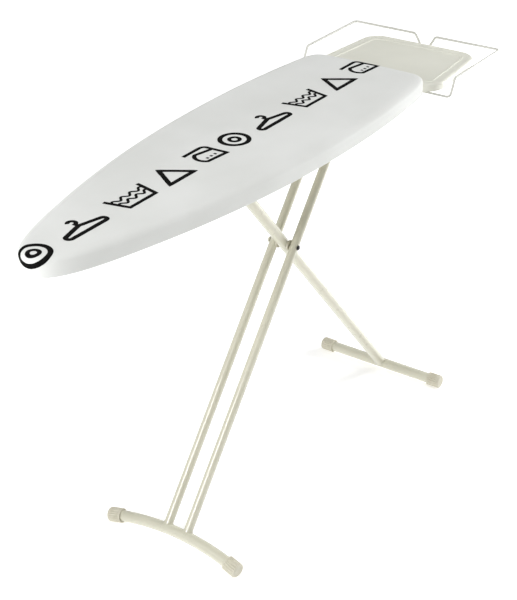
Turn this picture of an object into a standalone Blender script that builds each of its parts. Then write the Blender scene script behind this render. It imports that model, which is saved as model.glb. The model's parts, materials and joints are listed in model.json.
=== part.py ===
"""Folding ironing board with a padded top, scissor legs and a fixed iron rest.

The origin is on the floor, below the middle of the whole object. +X runs from the nose of the
board to the iron rest, Y runs across the board and +Z is up. All sizes are in metres.
"""

import math

import bmesh
import bpy
from mathutils import Vector
from mathutils.geometry import interpolate_bezier

GAP = 0.0003              # air between pieces that touch

# Whole object
BOARD_TOP = 0.9643        # ironing surface above the floor
BOARD_LENGTH = 1.2680     # covered board, nose to tail
REST_END = 1.5493         # nose to the middle of the wire that ends the iron rest
WIRE_R = 0.003
NOSE_X = -(REST_END + WIRE_R) / 2
TAIL_X = NOSE_X + BOARD_LENGTH

# Outline of half the board: Bezier stretches from the nose tip round to the middle of the tail
OUTLINE = (
    ((0.000, 0.000), (0.000, 0.048), (0.061, 0.077), (0.187, 0.111), 9),
    ((0.187, 0.111), (0.445, 0.181), (0.660, 0.198), (0.860, 0.199), 8),
    ((0.860, 0.199), (0.985, 0.199), (1.095, 0.192), (1.210, 0.176), 5),
    ((1.210, 0.176), (1.242, 0.172), (1.263, 0.154), (1.264, 0.122), 6),
    ((1.264, 0.122), (1.265, 0.080), (BOARD_LENGTH, 0.040), (BOARD_LENGTH, 0.000), 3),
)

# Board layers, top down
COVER_DEPTH = 0.0428      # top of the cover to its lower edge
COVER_T = 0.0012
COVER_ROUND = 0.007
PAD_TOP = BOARD_TOP - COVER_T - GAP
PAD_T = 0.006
MESH_TOP = PAD_TOP - PAD_T - GAP
MESH_T = 0.0006
SIDE_INSET = 0.0018       # pad, mesh sheet and rim, inside the outside of the cover
STEEL_T = 0.0012
RIM_TOP = MESH_TOP - MESH_T - GAP
RIM_BOTTOM = BOARD_TOP - COVER_DEPTH + COVER_T + GAP
RIM_LIP = 0.012
COVER_HEM = SIDE_INSET + RIM_LIP    # how far the cover is drawn in under the board

# Cross braces and slide rails under the board
BRACE_W = 0.025
BRACE_FLANGE = 0.008
BRACE_TOP = RIM_TOP - STEEL_T - GAP - STEEL_T / 2
BRACE_WEB = 0.9391
BRACE_END_INSET = 0.0055
BRACE_BOTTOM = BRACE_WEB - STEEL_T / 2
BRACE_NOSE_X = NOSE_X + 0.270
BRACE_MID_X = NOSE_X + 0.705
RAIL_WEB_Y = 0.0831
RAIL_DEPTH = 0.0131
RAIL_TOP = BRACE_BOTTOM - GAP - STEEL_T / 2
RAIL_BOTTOM = 0.9081
RAIL_END = 0.020          # rails reach this far past the braces

# Legs: both lean the same way off the floor and cross at the pivot
LEG_ANGLE = math.radians(50.75)
PIVOT = Vector((NOSE_X + 0.869, 0.0, 0.6165))
HINGE_Z = 0.920
FRONT_UP = Vector((math.cos(LEG_ANGLE), 0.0, math.sin(LEG_ANGLE)))
REAR_UP = Vector((-math.cos(LEG_ANGLE), 0.0, math.sin(LEG_ANGLE)))
ABOVE_PIVOT = (HINGE_Z - PIVOT.z) / math.sin(LEG_ANGLE)
TOP_HINGE = PIVOT + FRONT_UP * ABOVE_PIVOT
SLIDER = PIVOT + REAR_UP * ABOVE_PIVOT
TUBE_WALL = 0.0012
FRONT_TUBE_R = 0.011
FRONT_TUBE_Y = 0.0295
REAR_TUBE_R = 0.014
FOOT_R = 0.014
FOOT_ARCH_R = 0.77        # the front foot is an arc that lies in the plane of its leg

# End caps of the feet
CAP_R = 0.0183
CAP_LENGTH = 0.038
CAP_ROUND = 0.006
CAP_END_T = 0.006
CAP_FIT = 0.0005
CAP_Y = 0.178

# Pins, sleeves and bushes
CROSSBAR_R = 0.008
CROSSBAR_HALF = 0.0605
CROSSBAR_PAST = 0.010     # front tubes run on past the crossbar
HINGE_BLOCK_INSET = 0.003 # from the end of the crossbar
HINGE_BLOCK_W = 0.016
HINGE_BLOCK_HALF_X = 0.015
HINGE_BLOCK_BELOW = 0.013 # from the crossbar's axis
BOLT_R = 0.004
BORE_R = BOLT_R + GAP
BOLT_HEAD_R = 0.0062
NUT_R = 0.0075            # to its corners
NUT_T = 0.004
BUSH_R = 0.006
SPACER_R = 0.0135
SLEEVE_R = 0.010
SLEEVE_HALF = 0.036
SLEEVE_PAST = 0.013
AXLE_HALF = 0.080
SHOE_HALF_X = 0.013

# Height rack and its lever, in an upright plane beside the rear leg
RACK_Y = 0.045
RACK_T = 0.003
RACK_TOP = 0.9520
RACK_BOTTOM = 0.9395
TOOTH_PITCH = 0.015
TOOTH_COUNT = 9
TOOTH_DEPTH = 0.006
PAWL_TIP = RACK_BOTTOM - 0.0008 - HINGE_Z
PAWL_HALF = 0.0025
LEVER_HUB_R = 0.0085
LEVER_REACH = 0.150
LEVER_TOP = -0.016        # outer half of the lever's arm, from the axle
LEVER_LOW = -0.024
GRIP_LENGTH = 0.056
GRIP_HALF_W = 0.009
GRIP_WALL = 0.004

# Iron rest
REST_HALF_Y = 0.2200
REST_WIRE_TOP = 0.9533
REST_WIRE_LOW = 0.9085
REST_LOW_X = NOSE_X + 1.2848
REST_BEND_X = NOSE_X + 1.3072
NOTCH_TOP_Y = 0.0314
NOTCH_LOW_Y = 0.0045
TRAY_START = NOSE_X + 1.2725
TRAY_END = NOSE_X + 1.5458
TRAY_HALF_Y = 0.1800
TRAY_TAPER = 0.014
TRAY_CORNER = 0.052
TRAY_TOP = 0.9310
TRAY_BOTTOM = REST_WIRE_LOW + WIRE_R + GAP
TRAY_T = 0.0025
TRAY_FLOOR = TRAY_TOP - 0.003
ARM_Y = 0.100
ARM_W = 0.018
ARM_T = 0.003
ARM_LOW = REST_WIRE_LOW - WIRE_R - GAP - ARM_T / 2
SCREW_XS = (NOSE_X + 1.335, NOSE_X + 1.470)
SCREW_R = 0.0017
SCREW_HEAD_R = 0.004
BOSS_R = 0.005

X_AXIS = Vector((1.0, 0.0, 0.0))
Y_AXIS = Vector((0.0, 1.0, 0.0))
Z_AXIS = Vector((0.0, 0.0, 1.0))
SIDES = (("left", 1), ("right", -1))


# ---------------------------------------------------------------- scene and materials

def clear_scene():
    for obj in list(bpy.data.objects):
        bpy.data.objects.remove(obj, do_unlink=True)


def new_collection(name):
    collection = bpy.data.collections.new(name)
    bpy.context.scene.collection.children.link(collection)
    return collection


def new_material(name, colour, roughness, metallic=0.0):
    material = bpy.data.materials.new(name)
    material.use_nodes = True
    shader = material.node_tree.nodes["Principled BSDF"]
    shader.inputs["Base Color"].default_value = (*colour, 1.0)
    shader.inputs["Roughness"].default_value = roughness
    shader.inputs["Metallic"].default_value = metallic
    return material


clear_scene()
PARTS = new_collection("ironing_board")
CUTTERS = new_collection("cutters")
COVER_CLOTH = new_material("cover_cloth", (0.66, 0.68, 0.64), 0.85)
FELT = new_material("felt", (0.72, 0.70, 0.64), 0.95)
CREAM_PAINT = new_material("cream_paint", (0.72, 0.71, 0.60), 0.35)
TRAY_PLASTIC = new_material("tray_plastic", (0.66, 0.66, 0.58), 0.45)
CAP_PLASTIC = new_material("cap_plastic", (0.68, 0.65, 0.54), 0.55)
BLACK_STEEL = new_material("black_steel", (0.03, 0.03, 0.03), 0.4, 0.6)
ZINC_STEEL = new_material("zinc_steel", (0.62, 0.62, 0.60), 0.35, 1.0)


# ---------------------------------------------------------------- modelling helpers

def add_part(name, data, material=None):
    """Puts mesh or curve data in the scene: a cutter has no material."""
    obj = bpy.data.objects.new(name, data)
    if material is None:
        CUTTERS.objects.link(obj)
        obj.hide_render = True
        obj.display_type = "WIRE"
    else:
        PARTS.objects.link(obj)
        data.materials.append(material)
    return obj


def smooth(mesh, angle=35.0):
    mesh.shade_smooth()
    mesh.set_sharp_from_angle(angle=math.radians(angle))


def solidify(obj, thickness, offset):
    modifier = obj.modifiers.new("thickness", "SOLIDIFY")
    modifier.thickness = thickness
    modifier.offset = offset
    modifier.use_even_offset = True


def cut(obj, cutter):
    modifier = obj.modifiers.new(cutter.name, "BOOLEAN")
    modifier.operation = "DIFFERENCE"
    modifier.object = cutter


def box(name, low, high, material=None, bevel=0.0):
    """A block between two opposite corners."""
    mesh = bpy.data.meshes.new(name)
    bm = bmesh.new()
    bmesh.ops.create_cube(bm, size=1.0)
    size = Vector(high) - Vector(low)
    bmesh.ops.scale(bm, vec=size, verts=bm.verts)
    bm.to_mesh(mesh)
    bm.free()
    obj = add_part(name, mesh, material)
    obj.location = (Vector(low) + Vector(high)) / 2
    if bevel:
        modifier = obj.modifiers.new("edges", "BEVEL")
        modifier.width = bevel
        modifier.segments = 2
    return obj


def turned(name, profile, base, direction, material=None, sides=20):
    """A profile of (radius, height) points, top to bottom down its outer side, turned about the
    axis that starts at base and runs along direction. It either starts and ends on the axis or
    is a closed ring."""
    mesh = bpy.data.meshes.new(name)
    bm = bmesh.new()
    verts = [bm.verts.new((radius, 0.0, height)) for radius, height in profile]
    for first, second in zip(verts, verts[1:]):
        bm.edges.new((first, second))
    if profile[0][0] > 0.0:
        bm.edges.new((verts[-1], verts[0]))
    bm.to_mesh(mesh)
    bm.free()
    obj = add_part(name, mesh, material)
    screw = obj.modifiers.new("turn", "SCREW")
    screw.steps = sides
    screw.render_steps = sides
    screw.use_merge_vertices = True
    screw.merge_threshold = 0.00001
    screw.use_smooth_shade = sides > 8
    obj.location = base
    obj.rotation_mode = "QUATERNION"
    obj.rotation_quaternion = Vector(direction).to_track_quat("Z", "Y")
    return obj


def rod_profile(radius, length):
    return ((0.0, length), (radius, length), (radius, 0.0), (0.0, 0.0))


def ring_profile(outer, inner, length):
    return ((outer, length), (outer, 0.0), (inner, 0.0), (inner, length))


def drill(obj, name, radius, centre, direction, half_length, sides=20):
    """Cuts a round hole whose axis passes through centre."""
    start = Vector(centre) - Vector(direction) * half_length
    profile = rod_profile(radius, 2 * half_length)
    cut(obj, turned(name, profile, start, direction, sides=sides))


def bent_tube(name, points, radius, material, wall=0.0, resolution=4):
    """A wire, or with a wall an open-ended tube, along a line of points."""
    curve = bpy.data.curves.new(name, "CURVE")
    curve.dimensions = "3D"
    curve.bevel_depth = radius
    curve.bevel_resolution = resolution
    curve.use_fill_caps = not wall
    spline = curve.splines.new("POLY")
    spline.points.add(len(points) - 1)
    for spline_point, point in zip(spline.points, points):
        spline_point.co = (*point, 1.0)
    obj = add_part(name, curve, material)
    if wall:
        solidify(obj, wall, -1.0)
    return obj


def folded_sheet(name, profile, direction, length, material, thickness=STEEL_T):
    """Sheet bent along a line of points and run both ways along direction."""
    half = Vector(direction) * length / 2
    mesh = bpy.data.meshes.new(name)
    bm = bmesh.new()
    rows = [[bm.verts.new(Vector(point) + side * half) for side in (-1, 1)] for point in profile]
    for first, second in zip(rows, rows[1:]):
        bm.faces.new((first[0], first[1], second[1], second[0]))
    bm.to_mesh(mesh)
    bm.free()
    obj = add_part(name, mesh, material)
    solidify(obj, thickness, 0.0)
    return obj


def flat_plate(name, outlines, place, thickness, material):
    """Outlines in (x, z) round place, filled and extruded across Y; inner ones are holes."""
    curve = bpy.data.curves.new(name, "CURVE")
    curve.dimensions = "2D"
    curve.fill_mode = "BOTH"
    curve.extrude = thickness / 2
    for outline in outlines:
        spline = curve.splines.new("POLY")
        spline.points.add(len(outline) - 1)
        for spline_point, (x, z) in zip(spline.points, outline):
            spline_point.co = (x, z, 0.0, 1.0)
        spline.use_cyclic_u = True
    obj = add_part(name, curve, material)
    obj.location = place
    obj.rotation_euler = (math.pi / 2, 0.0, 0.0)
    weld = obj.modifiers.new("weld", "WELD")
    weld.merge_threshold = 0.00001
    return obj


def loft(name, rings, material, fill_first=True, fill_last=True):
    """Faces between closed rings of points, each anticlockwise from above, top ring first."""
    mesh = bpy.data.meshes.new(name)
    bm = bmesh.new()
    loops = [[bm.verts.new(point) for point in ring] for ring in rings]
    for upper, lower in zip(loops, loops[1:]):
        for here in range(len(upper)):
            after = (here + 1) % len(upper)
            bm.faces.new((lower[here], lower[after], upper[after], upper[here]))
    if fill_first:
        bm.faces.new(loops[0])
    if fill_last:
        bm.faces.new(reversed(loops[-1]))
    bm.to_mesh(mesh)
    bm.free()
    smooth(mesh)
    return add_part(name, mesh, material)


def inset(outline, distance, z):
    """A closed outline moved inwards by a distance, at height z."""
    ring = []
    count = len(outline)
    for index, (x, y) in enumerate(outline):
        before = Vector(outline[index - 1])
        after = Vector(outline[(index + 1) % count])
        along = (after - before).normalized()
        ring.append(Vector((x - along.y * distance, y + along.x * distance, z)))
    return ring


def arc_points(centre, radius, start, end, steps):
    """Points on an arc as pairs, by angles in degrees."""
    points = []
    for step in range(steps + 1):
        angle = math.radians(start + (end - start) * step / steps)
        points.append((centre[0] + radius * math.cos(angle), centre[1] + radius * math.sin(angle)))
    return points


def rounded_path(corners, radii, steps=4):
    """A line of points with each corner between its ends rounded to its own bend radius."""
    path = [corners[0]]
    for before, corner, after, radius in zip(corners, corners[1:], corners[2:], radii):
        to_before = (before - corner).normalized()
        to_after = (after - corner).normalized()
        half_turn = to_before.angle(to_after) / 2
        reach = radius / math.tan(half_turn)
        bisector = (to_before + to_after).normalized()
        centre = corner + bisector * radius / math.sin(half_turn)
        first = (corner + to_before * reach - centre).normalized()
        last = (corner + to_after * reach - centre).normalized()
        for step in range(steps + 1):
            path.append(centre + first.slerp(last, step / steps) * radius)
    path.append(corners[-1])
    return path


# ---------------------------------------------------------------- board

def board_outline():
    """The covered board seen from above, anticlockwise from the nose tip."""
    half = []
    for start, start_handle, end_handle, end, steps in OUTLINE:
        corners = [Vector((*point, 0.0)) for point in (start, start_handle, end_handle, end)]
        half += interpolate_bezier(*corners, steps + 1)[:-1]
    near_side = [(NOSE_X + point.x, -point.y) for point in half]
    far_side = [(x, -y) for x, y in reversed(near_side[1:])]
    return near_side + [(TAIL_X, 0.0)] + far_side


def half_width(outline, x):
    """Half the board's width at x."""
    near_side = [point for point in outline if point[1] <= 0.0]
    for (x0, y0), (x1, y1) in zip(near_side, near_side[1:]):
        if x0 <= x <= x1:
            return -(y0 + (y1 - y0) * (x - x0) / (x1 - x0))
    return 0.0


def make_cover(outline):
    bottom = BOARD_TOP - COVER_DEPTH
    edge = arc_points((COVER_ROUND, BOARD_TOP - COVER_ROUND), COVER_ROUND, 90, 180, 3)
    edge += [(0.0, bottom + COVER_T), (COVER_T, bottom), (COVER_HEM, bottom)]
    rings = [inset(outline, distance, z) for distance, z in edge]
    cover = loft("cover", rings, COVER_CLOTH, fill_last=False)
    solidify(cover, COVER_T, -1.0)


def make_pad(outline):
    radius = COVER_ROUND - SIDE_INSET
    edge = arc_points((COVER_ROUND, PAD_TOP - radius), radius, 90, 180, 3)
    edge.append((SIDE_INSET, PAD_TOP - PAD_T))
    loft("pad", [inset(outline, distance, z) for distance, z in edge], FELT)


def make_mesh_top(outline):
    levels = (MESH_TOP, MESH_TOP - MESH_T)
    loft("mesh_top", [inset(outline, SIDE_INSET, z) for z in levels], CREAM_PAINT)


def make_rim(outline):
    edge = (
        (SIDE_INSET + RIM_LIP, RIM_TOP),
        (SIDE_INSET, RIM_TOP),
        (SIDE_INSET, RIM_BOTTOM),
        (SIDE_INSET + RIM_LIP, RIM_BOTTOM),
    )
    rings = [inset(outline, distance, z) for distance, z in edge]
    rim = loft("rim", rings, CREAM_PAINT, fill_first=False, fill_last=False)
    solidify(rim, STEEL_T, -1.0)


def make_brace(name, x, outline):
    """A hat section across the board, inside the rim."""
    wall = BRACE_W / 2
    edge = wall + BRACE_FLANGE
    section = ((-edge, BRACE_TOP), (-wall, BRACE_TOP), (-wall, BRACE_WEB))
    section += tuple((-dx, z) for dx, z in reversed(section))
    points = [(x + dx, 0.0, z) for dx, z in section]
    half = min(half_width(outline, x - edge), half_width(outline, x + edge))
    length = 2 * (half - BRACE_END_INSET)
    folded_sheet(name, points, Y_AXIS, length, CREAM_PAINT)


def make_rail(name, side):
    start = BRACE_NOSE_X - RAIL_END
    end = BRACE_MID_X + RAIL_END
    middle = (start + end) / 2
    lip_y = side * (RAIL_WEB_Y - RAIL_DEPTH)
    web_y = side * RAIL_WEB_Y
    points = (
        (middle, lip_y, RAIL_TOP),
        (middle, web_y, RAIL_TOP),
        (middle, web_y, RAIL_BOTTOM),
        (middle, lip_y, RAIL_BOTTOM),
    )
    folded_sheet(name, points, X_AXIS, end - start, CREAM_PAINT)


def make_rack():
    """A strip with notches along its lower edge, the first one above the pawl."""
    reach = BRACE_W / 2 + STEEL_T / 2 + GAP
    start = BRACE_NOSE_X + reach
    end = BRACE_MID_X - reach
    outline = [(end, RACK_TOP), (start, RACK_TOP), (start, RACK_BOTTOM)]
    for tooth in reversed(range(TOOTH_COUNT)):
        x = SLIDER.x - tooth * TOOTH_PITCH
        outline.append((x - TOOTH_PITCH / 4, RACK_BOTTOM))
        outline.append((x - TOOTH_PITCH / 8, RACK_BOTTOM + TOOTH_DEPTH))
        outline.append((x + TOOTH_PITCH / 4, RACK_BOTTOM + TOOTH_DEPTH))
        outline.append((x + TOOTH_PITCH / 4, RACK_BOTTOM))
    outline.append((end, RACK_BOTTOM))
    flat_plate("height_rack", [outline], (0.0, RACK_Y, 0.0), RACK_T, ZINC_STEEL)


def make_hinge_block(name, side):
    """Saddle under the tail brace that the front leg's crossbar turns in."""
    outer_y = CROSSBAR_HALF - HINGE_BLOCK_INSET
    inner_y = outer_y - HINGE_BLOCK_W
    ys = sorted((side * inner_y, side * outer_y))
    low = (TOP_HINGE.x - HINGE_BLOCK_HALF_X, ys[0], HINGE_Z - HINGE_BLOCK_BELOW)
    high = (TOP_HINGE.x + HINGE_BLOCK_HALF_X, ys[1], BRACE_BOTTOM - GAP)
    block = box(name, low, high, CAP_PLASTIC)
    centre = (TOP_HINGE.x, sum(ys) / 2, HINGE_Z)
    drill(block, name + "_bore", CROSSBAR_R + GAP, centre, Y_AXIS, HINGE_BLOCK_W)


# ---------------------------------------------------------------- front leg

def front_arc_point(arc_length, foot_middle):
    angle = arc_length / FOOT_ARCH_R
    drop = FOOT_ARCH_R * (1.0 - math.cos(angle))
    return foot_middle - FRONT_UP * drop + Y_AXIS * FOOT_ARCH_R * math.sin(angle)


def front_foot_middle():
    """The middle of the arched foot, with the rounded rims of its caps on the floor."""
    angle = math.asin(CAP_Y / FOOT_ARCH_R)
    slope = math.sin(angle) * math.sin(LEG_ANGLE)
    rim_r = CAP_R - CAP_ROUND
    cap_z = (CAP_LENGTH / 2 - CAP_ROUND) * slope + rim_r * math.sqrt(1 - slope**2) + CAP_ROUND
    middle_z = cap_z + FOOT_ARCH_R * (1.0 - math.cos(angle)) * math.sin(LEG_ANGLE)
    return PIVOT - FRONT_UP * (PIVOT.z - middle_z) / math.sin(LEG_ANGLE)


def make_cap(name, centre, outward):
    """A ferrule over the end of a foot tube, closed and rounded at its outer end."""
    shoulder = (CAP_R - CAP_ROUND, CAP_LENGTH - CAP_ROUND)
    profile = [(0.0, CAP_LENGTH)]
    profile += arc_points(shoulder, CAP_ROUND, 90, 0, 3)
    profile += [(CAP_R, 0.0), (FOOT_R + CAP_FIT, 0.0)]
    profile += [(FOOT_R + CAP_FIT, CAP_LENGTH - CAP_END_T), (0.0, CAP_LENGTH - CAP_END_T)]
    base = centre - outward * CAP_LENGTH / 2
    turned(name, profile, base, outward, CAP_PLASTIC, sides=24)


def make_front_foot():
    middle = front_foot_middle()
    cap_angle = math.asin(CAP_Y / FOOT_ARCH_R)
    tube_end = cap_angle * FOOT_ARCH_R + CAP_LENGTH / 2 - CAP_END_T - 0.001
    steps = 16
    lengths = [tube_end * (2 * step / steps - 1) for step in range(steps + 1)]
    points = [front_arc_point(length, middle) for length in lengths]
    bent_tube("front_foot", points, FOOT_R, CREAM_PAINT, wall=TUBE_WALL)
    for label, side in SIDES:
        centre = front_arc_point(side * cap_angle * FOOT_ARCH_R, middle)
        outward = Y_AXIS * side * math.cos(cap_angle) - FRONT_UP * math.sin(cap_angle)
        make_cap("front_cap_" + label, centre, outward)


def make_front_tube(name, side):
    """One tube of the pair, from a saddle on the foot to just past the crossbar."""
    across = Y_AXIS * side * FRONT_TUBE_Y
    foot = front_arc_point(side * FRONT_TUBE_Y, front_foot_middle())
    top = TOP_HINGE + across + FRONT_UP * CROSSBAR_PAST
    profile = ring_profile(FRONT_TUBE_R, FRONT_TUBE_R - TUBE_WALL, (top - foot).length)
    tube = turned(name, profile, foot, FRONT_UP, CREAM_PAINT)
    lean = side * FRONT_TUBE_Y / FOOT_ARCH_R
    along_foot = (Y_AXIS - FRONT_UP * lean).normalized()
    drill(tube, name + "_saddle", FOOT_R + 0.0005, foot, along_foot, 0.03, sides=32)
    drill(tube, name + "_top_hole", CROSSBAR_R + GAP, TOP_HINGE + across, Y_AXIS, 0.014)
    drill(tube, name + "_bolt_hole", BORE_R, PIVOT + across, Y_AXIS, 0.014)


def make_crossbar():
    base = TOP_HINGE - Y_AXIS * CROSSBAR_HALF
    profile = ring_profile(CROSSBAR_R, CROSSBAR_R - 0.0015, 2 * CROSSBAR_HALF)
    turned("front_crossbar", profile, base, Y_AXIS, CREAM_PAINT)


def make_pivot():
    """Bolt, painted nut and spacers that hold the two legs together where they cross."""
    face = FRONT_TUBE_Y + FRONT_TUBE_R + GAP
    length = 2 * face + NUT_T - GAP
    profile = [(0.0, length + 0.0035)]
    profile += [(BOLT_HEAD_R * 0.6, length + 0.0031), (BOLT_HEAD_R, length + 0.0012)]
    profile += [(BOLT_HEAD_R, length), (BOLT_R, length), (BOLT_R, 0.0), (0.0, 0.0)]
    head_face = PIVOT - Y_AXIS * face
    turned("pivot_bolt", profile, head_face + Y_AXIS * length, -Y_AXIS, BLACK_STEEL)
    nut_face = PIVOT + Y_AXIS * face
    nut = turned("pivot_nut", rod_profile(NUT_R, NUT_T), nut_face, Y_AXIS, CREAM_PAINT, sides=6)
    drill(nut, "pivot_nut_thread", BORE_R, nut_face, Y_AXIS, 0.01)
    inner = REAR_TUBE_R + GAP
    outer = FRONT_TUBE_Y - FRONT_TUBE_R - GAP
    for label, side in SIDES:
        base = PIVOT + Y_AXIS * side * inner
        profile = ring_profile(SPACER_R, BORE_R, outer - inner)
        turned("pivot_spacer_" + label, profile, base, Y_AXIS * side, CAP_PLASTIC)


# ---------------------------------------------------------------- rear leg, slide and lever

def make_rear_leg():
    foot = PIVOT - REAR_UP * (PIVOT.z - CAP_R) / math.sin(LEG_ANGLE)
    top = SLIDER + REAR_UP * SLEEVE_PAST
    profile = ring_profile(REAR_TUBE_R, REAR_TUBE_R - TUBE_WALL, (top - foot).length)
    tube = turned("rear_tube", profile, foot, REAR_UP, CREAM_PAINT, sides=24)
    drill(tube, "rear_saddle", FOOT_R + GAP, foot, Y_AXIS, 0.03, sides=32)
    drill(tube, "rear_top_hole", SLEEVE_R + GAP, SLIDER, Y_AXIS, 0.03)
    drill(tube, "rear_bolt_hole", BUSH_R + GAP, PIVOT, Y_AXIS, 0.03)
    half = CAP_Y + CAP_LENGTH / 2 - CAP_END_T - 0.001
    ends = [foot - Y_AXIS * half, foot + Y_AXIS * half]
    bent_tube("rear_foot", ends, FOOT_R, CREAM_PAINT, wall=TUBE_WALL)
    for label, side in SIDES:
        make_cap("rear_cap_" + label, foot + Y_AXIS * side * CAP_Y, Y_AXIS * side)
    sleeve = ring_profile(SLEEVE_R, BORE_R, 2 * SLEEVE_HALF)
    turned("rear_sleeve", sleeve, SLIDER - Y_AXIS * SLEEVE_HALF, Y_AXIS, CREAM_PAINT)
    bush_half = REAR_TUBE_R - GAP
    bush = ring_profile(BUSH_R, BORE_R, 2 * bush_half)
    turned("pivot_bush", bush, PIVOT - Y_AXIS * bush_half, Y_AXIS, CAP_PLASTIC)


def make_slide():
    axle = rod_profile(BOLT_R, 2 * AXLE_HALF)
    turned("slide_axle", axle, SLIDER - Y_AXIS * AXLE_HALF, Y_AXIS, ZINC_STEEL)
    play = 0.0006
    low_z = RAIL_BOTTOM + STEEL_T / 2 + play
    high_z = RAIL_TOP - STEEL_T / 2 - play
    inner_y = RAIL_WEB_Y - RAIL_DEPTH + 0.0012
    outer_y = RAIL_WEB_Y - STEEL_T / 2 - play
    for label, side in SIDES:
        ys = sorted((side * inner_y, side * outer_y))
        low = (SLIDER.x - SHOE_HALF_X, ys[0], low_z)
        high = (SLIDER.x + SHOE_HALF_X, ys[1], high_z)
        shoe = box("slide_shoe_" + label, low, high, CAP_PLASTIC)
        centre = (SLIDER.x, side * (inner_y + outer_y) / 2, HINGE_Z)
        drill(shoe, "slide_shoe_bore_" + label, BORE_R, centre, Y_AXIS, 0.02)


def make_lever():
    """Plate that turns on the slide's axle: a pawl under the rack and a cranked arm to the grip,
    low enough to be squeezed up without meeting the rack."""
    hub = arc_points((0.0, 0.0), LEVER_HUB_R, 200, 420, 10)
    pawl = [
        (PAWL_HALF + 0.002, LEVER_HUB_R * 0.8),
        (PAWL_HALF, PAWL_TIP),
        (-PAWL_HALF, PAWL_TIP),
        (-PAWL_HALF - 0.004, LEVER_HUB_R),
    ]
    arm = [
        (-0.050, 0.000),
        (-0.085, LEVER_TOP),
        (-LEVER_REACH, LEVER_TOP),
        (-LEVER_REACH, LEVER_LOW),
        (-0.082, LEVER_LOW),
        (-0.050, -0.009),
    ]
    hole = arc_points((0.0, 0.0), BORE_R, 0, 342, 19)
    place = Vector((SLIDER.x, RACK_Y, HINGE_Z))
    flat_plate("height_lever", [hub + pawl + arm, hole], place, RACK_T, ZINC_STEEL)
    make_grip(place - X_AXIS * LEVER_REACH)


def make_grip(arm_end):
    """Block pushed on the end of the lever's arm, with a slot that is open above and behind."""
    low = arm_end + Vector((-GRIP_WALL, -GRIP_HALF_W, LEVER_LOW - GRIP_WALL))
    high = arm_end + Vector((GRIP_LENGTH - GRIP_WALL, GRIP_HALF_W, LEVER_TOP + 0.0015))
    grip = box("lever_grip", low, high, CAP_PLASTIC, bevel=0.003)
    half_slot = RACK_T / 2 + GAP
    slot_low = arm_end + Vector((-GAP, -half_slot, LEVER_LOW - GAP))
    slot_high = arm_end + Vector((GRIP_LENGTH, half_slot, 0.0))
    cut(grip, box("grip_slot", slot_low, slot_high))


def make_lever_spring():
    """Small coil round the axle between the lever and the slide shoe."""
    turns = 4
    per_turn = 8
    start_y = RACK_Y + RACK_T / 2 + 0.002
    length = 0.016
    coil_r = 0.0062
    points = []
    for step in range(turns * per_turn + 1):
        angle = 2 * math.pi * step / per_turn
        y = start_y + length * step / (turns * per_turn)
        points.append(SLIDER + Vector((coil_r * math.cos(angle), y, coil_r * math.sin(angle))))
    bent_tube("lever_spring", points, 0.0006, ZINC_STEEL, resolution=1)


# ---------------------------------------------------------------- iron rest

def make_rest_arm(name, side):
    """Flat bar from the tail brace, down under the rim and out under the tray."""
    high = BRACE_BOTTOM - GAP - ARM_T / 2
    under_rim = BOARD_TOP - COVER_DEPTH - 0.0008 - ARM_T / 2
    route = (
        (NOSE_X + 1.060, high),
        (NOSE_X + 1.150, high),
        (NOSE_X + 1.196, under_rim),
        (NOSE_X + 1.214, under_rim),
        (NOSE_X + 1.258, ARM_LOW),
        (NOSE_X + 1.490, ARM_LOW),
    )
    points = [(x, side * ARM_Y, z) for x, z in route]
    arm = folded_sheet(name, points, Y_AXIS, ARM_W, CREAM_PAINT, ARM_T)
    for number, x in enumerate(SCREW_XS):
        centre = (x, side * ARM_Y, ARM_LOW)
        drill(arm, f"{name}_hole_{number}", SCREW_R + 0.0005, centre, Z_AXIS, 0.01, sides=12)


def tray_outline():
    """Rounded trapezium seen from above, anticlockwise from its nearest left corner."""
    corners = (
        (TRAY_START, TRAY_HALF_Y, 90, 180),
        (TRAY_START, -TRAY_HALF_Y, 180, 270),
        (TRAY_END, -TRAY_HALF_Y + TRAY_TAPER, 270, 360),
        (TRAY_END, TRAY_HALF_Y - TRAY_TAPER, 0, 90),
    )
    outline = []
    for x, y, start, end in corners:
        centre_x = x + math.copysign(TRAY_CORNER, TRAY_START + TRAY_END - 2 * x)
        centre_y = y - math.copysign(TRAY_CORNER, y)
        outline += arc_points((centre_x, centre_y), TRAY_CORNER, start, end, 7)
    return outline


def make_tray():
    outline = tray_outline()
    edge = (
        (0.033, TRAY_FLOOR),
        (0.030, TRAY_TOP),
        (0.027, TRAY_TOP),
        (0.009, TRAY_TOP - 0.002),
        (0.004, TRAY_TOP - 0.004),
        (0.001, TRAY_TOP - 0.0075),
        (0.000, TRAY_TOP - 0.0115),
        (0.000, TRAY_BOTTOM),
    )
    rings = [inset(outline, distance, z) for distance, z in edge]
    tray = loft("iron_tray", rings, TRAY_PLASTIC, fill_last=False)
    solidify(tray, TRAY_T, -1.0)
    boss_low = ARM_LOW + ARM_T / 2 + GAP
    boss_height = TRAY_FLOOR - TRAY_T / 2 - boss_low
    boss = ring_profile(BOSS_R, SCREW_R + GAP, boss_height)
    for number, (x, y) in enumerate(screw_places()):
        cutter = turned(f"tray_boss_{number}", boss, (x, y, boss_low), Z_AXIS, sides=14)
        join = tray.modifiers.new(cutter.name, "BOOLEAN")
        join.operation = "UNION"
        join.object = cutter


def screw_places():
    return [(x, side * ARM_Y) for x in SCREW_XS for _, side in SIDES]


def make_screws():
    head_t = 0.0024
    length = 0.014
    profile = ((0.0, length), (SCREW_R, length), (SCREW_R, head_t), (SCREW_HEAD_R, head_t))
    profile += ((SCREW_HEAD_R, 0.0008), (SCREW_HEAD_R * 0.6, 0.0), (0.0, 0.0))
    base_z = ARM_LOW - ARM_T / 2 - GAP - head_t
    for number, (x, y) in enumerate(screw_places(), start=1):
        turned(f"rest_screw_{number}", profile, (x, y, base_z), Z_AXIS, ZINC_STEEL, sides=12)


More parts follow.
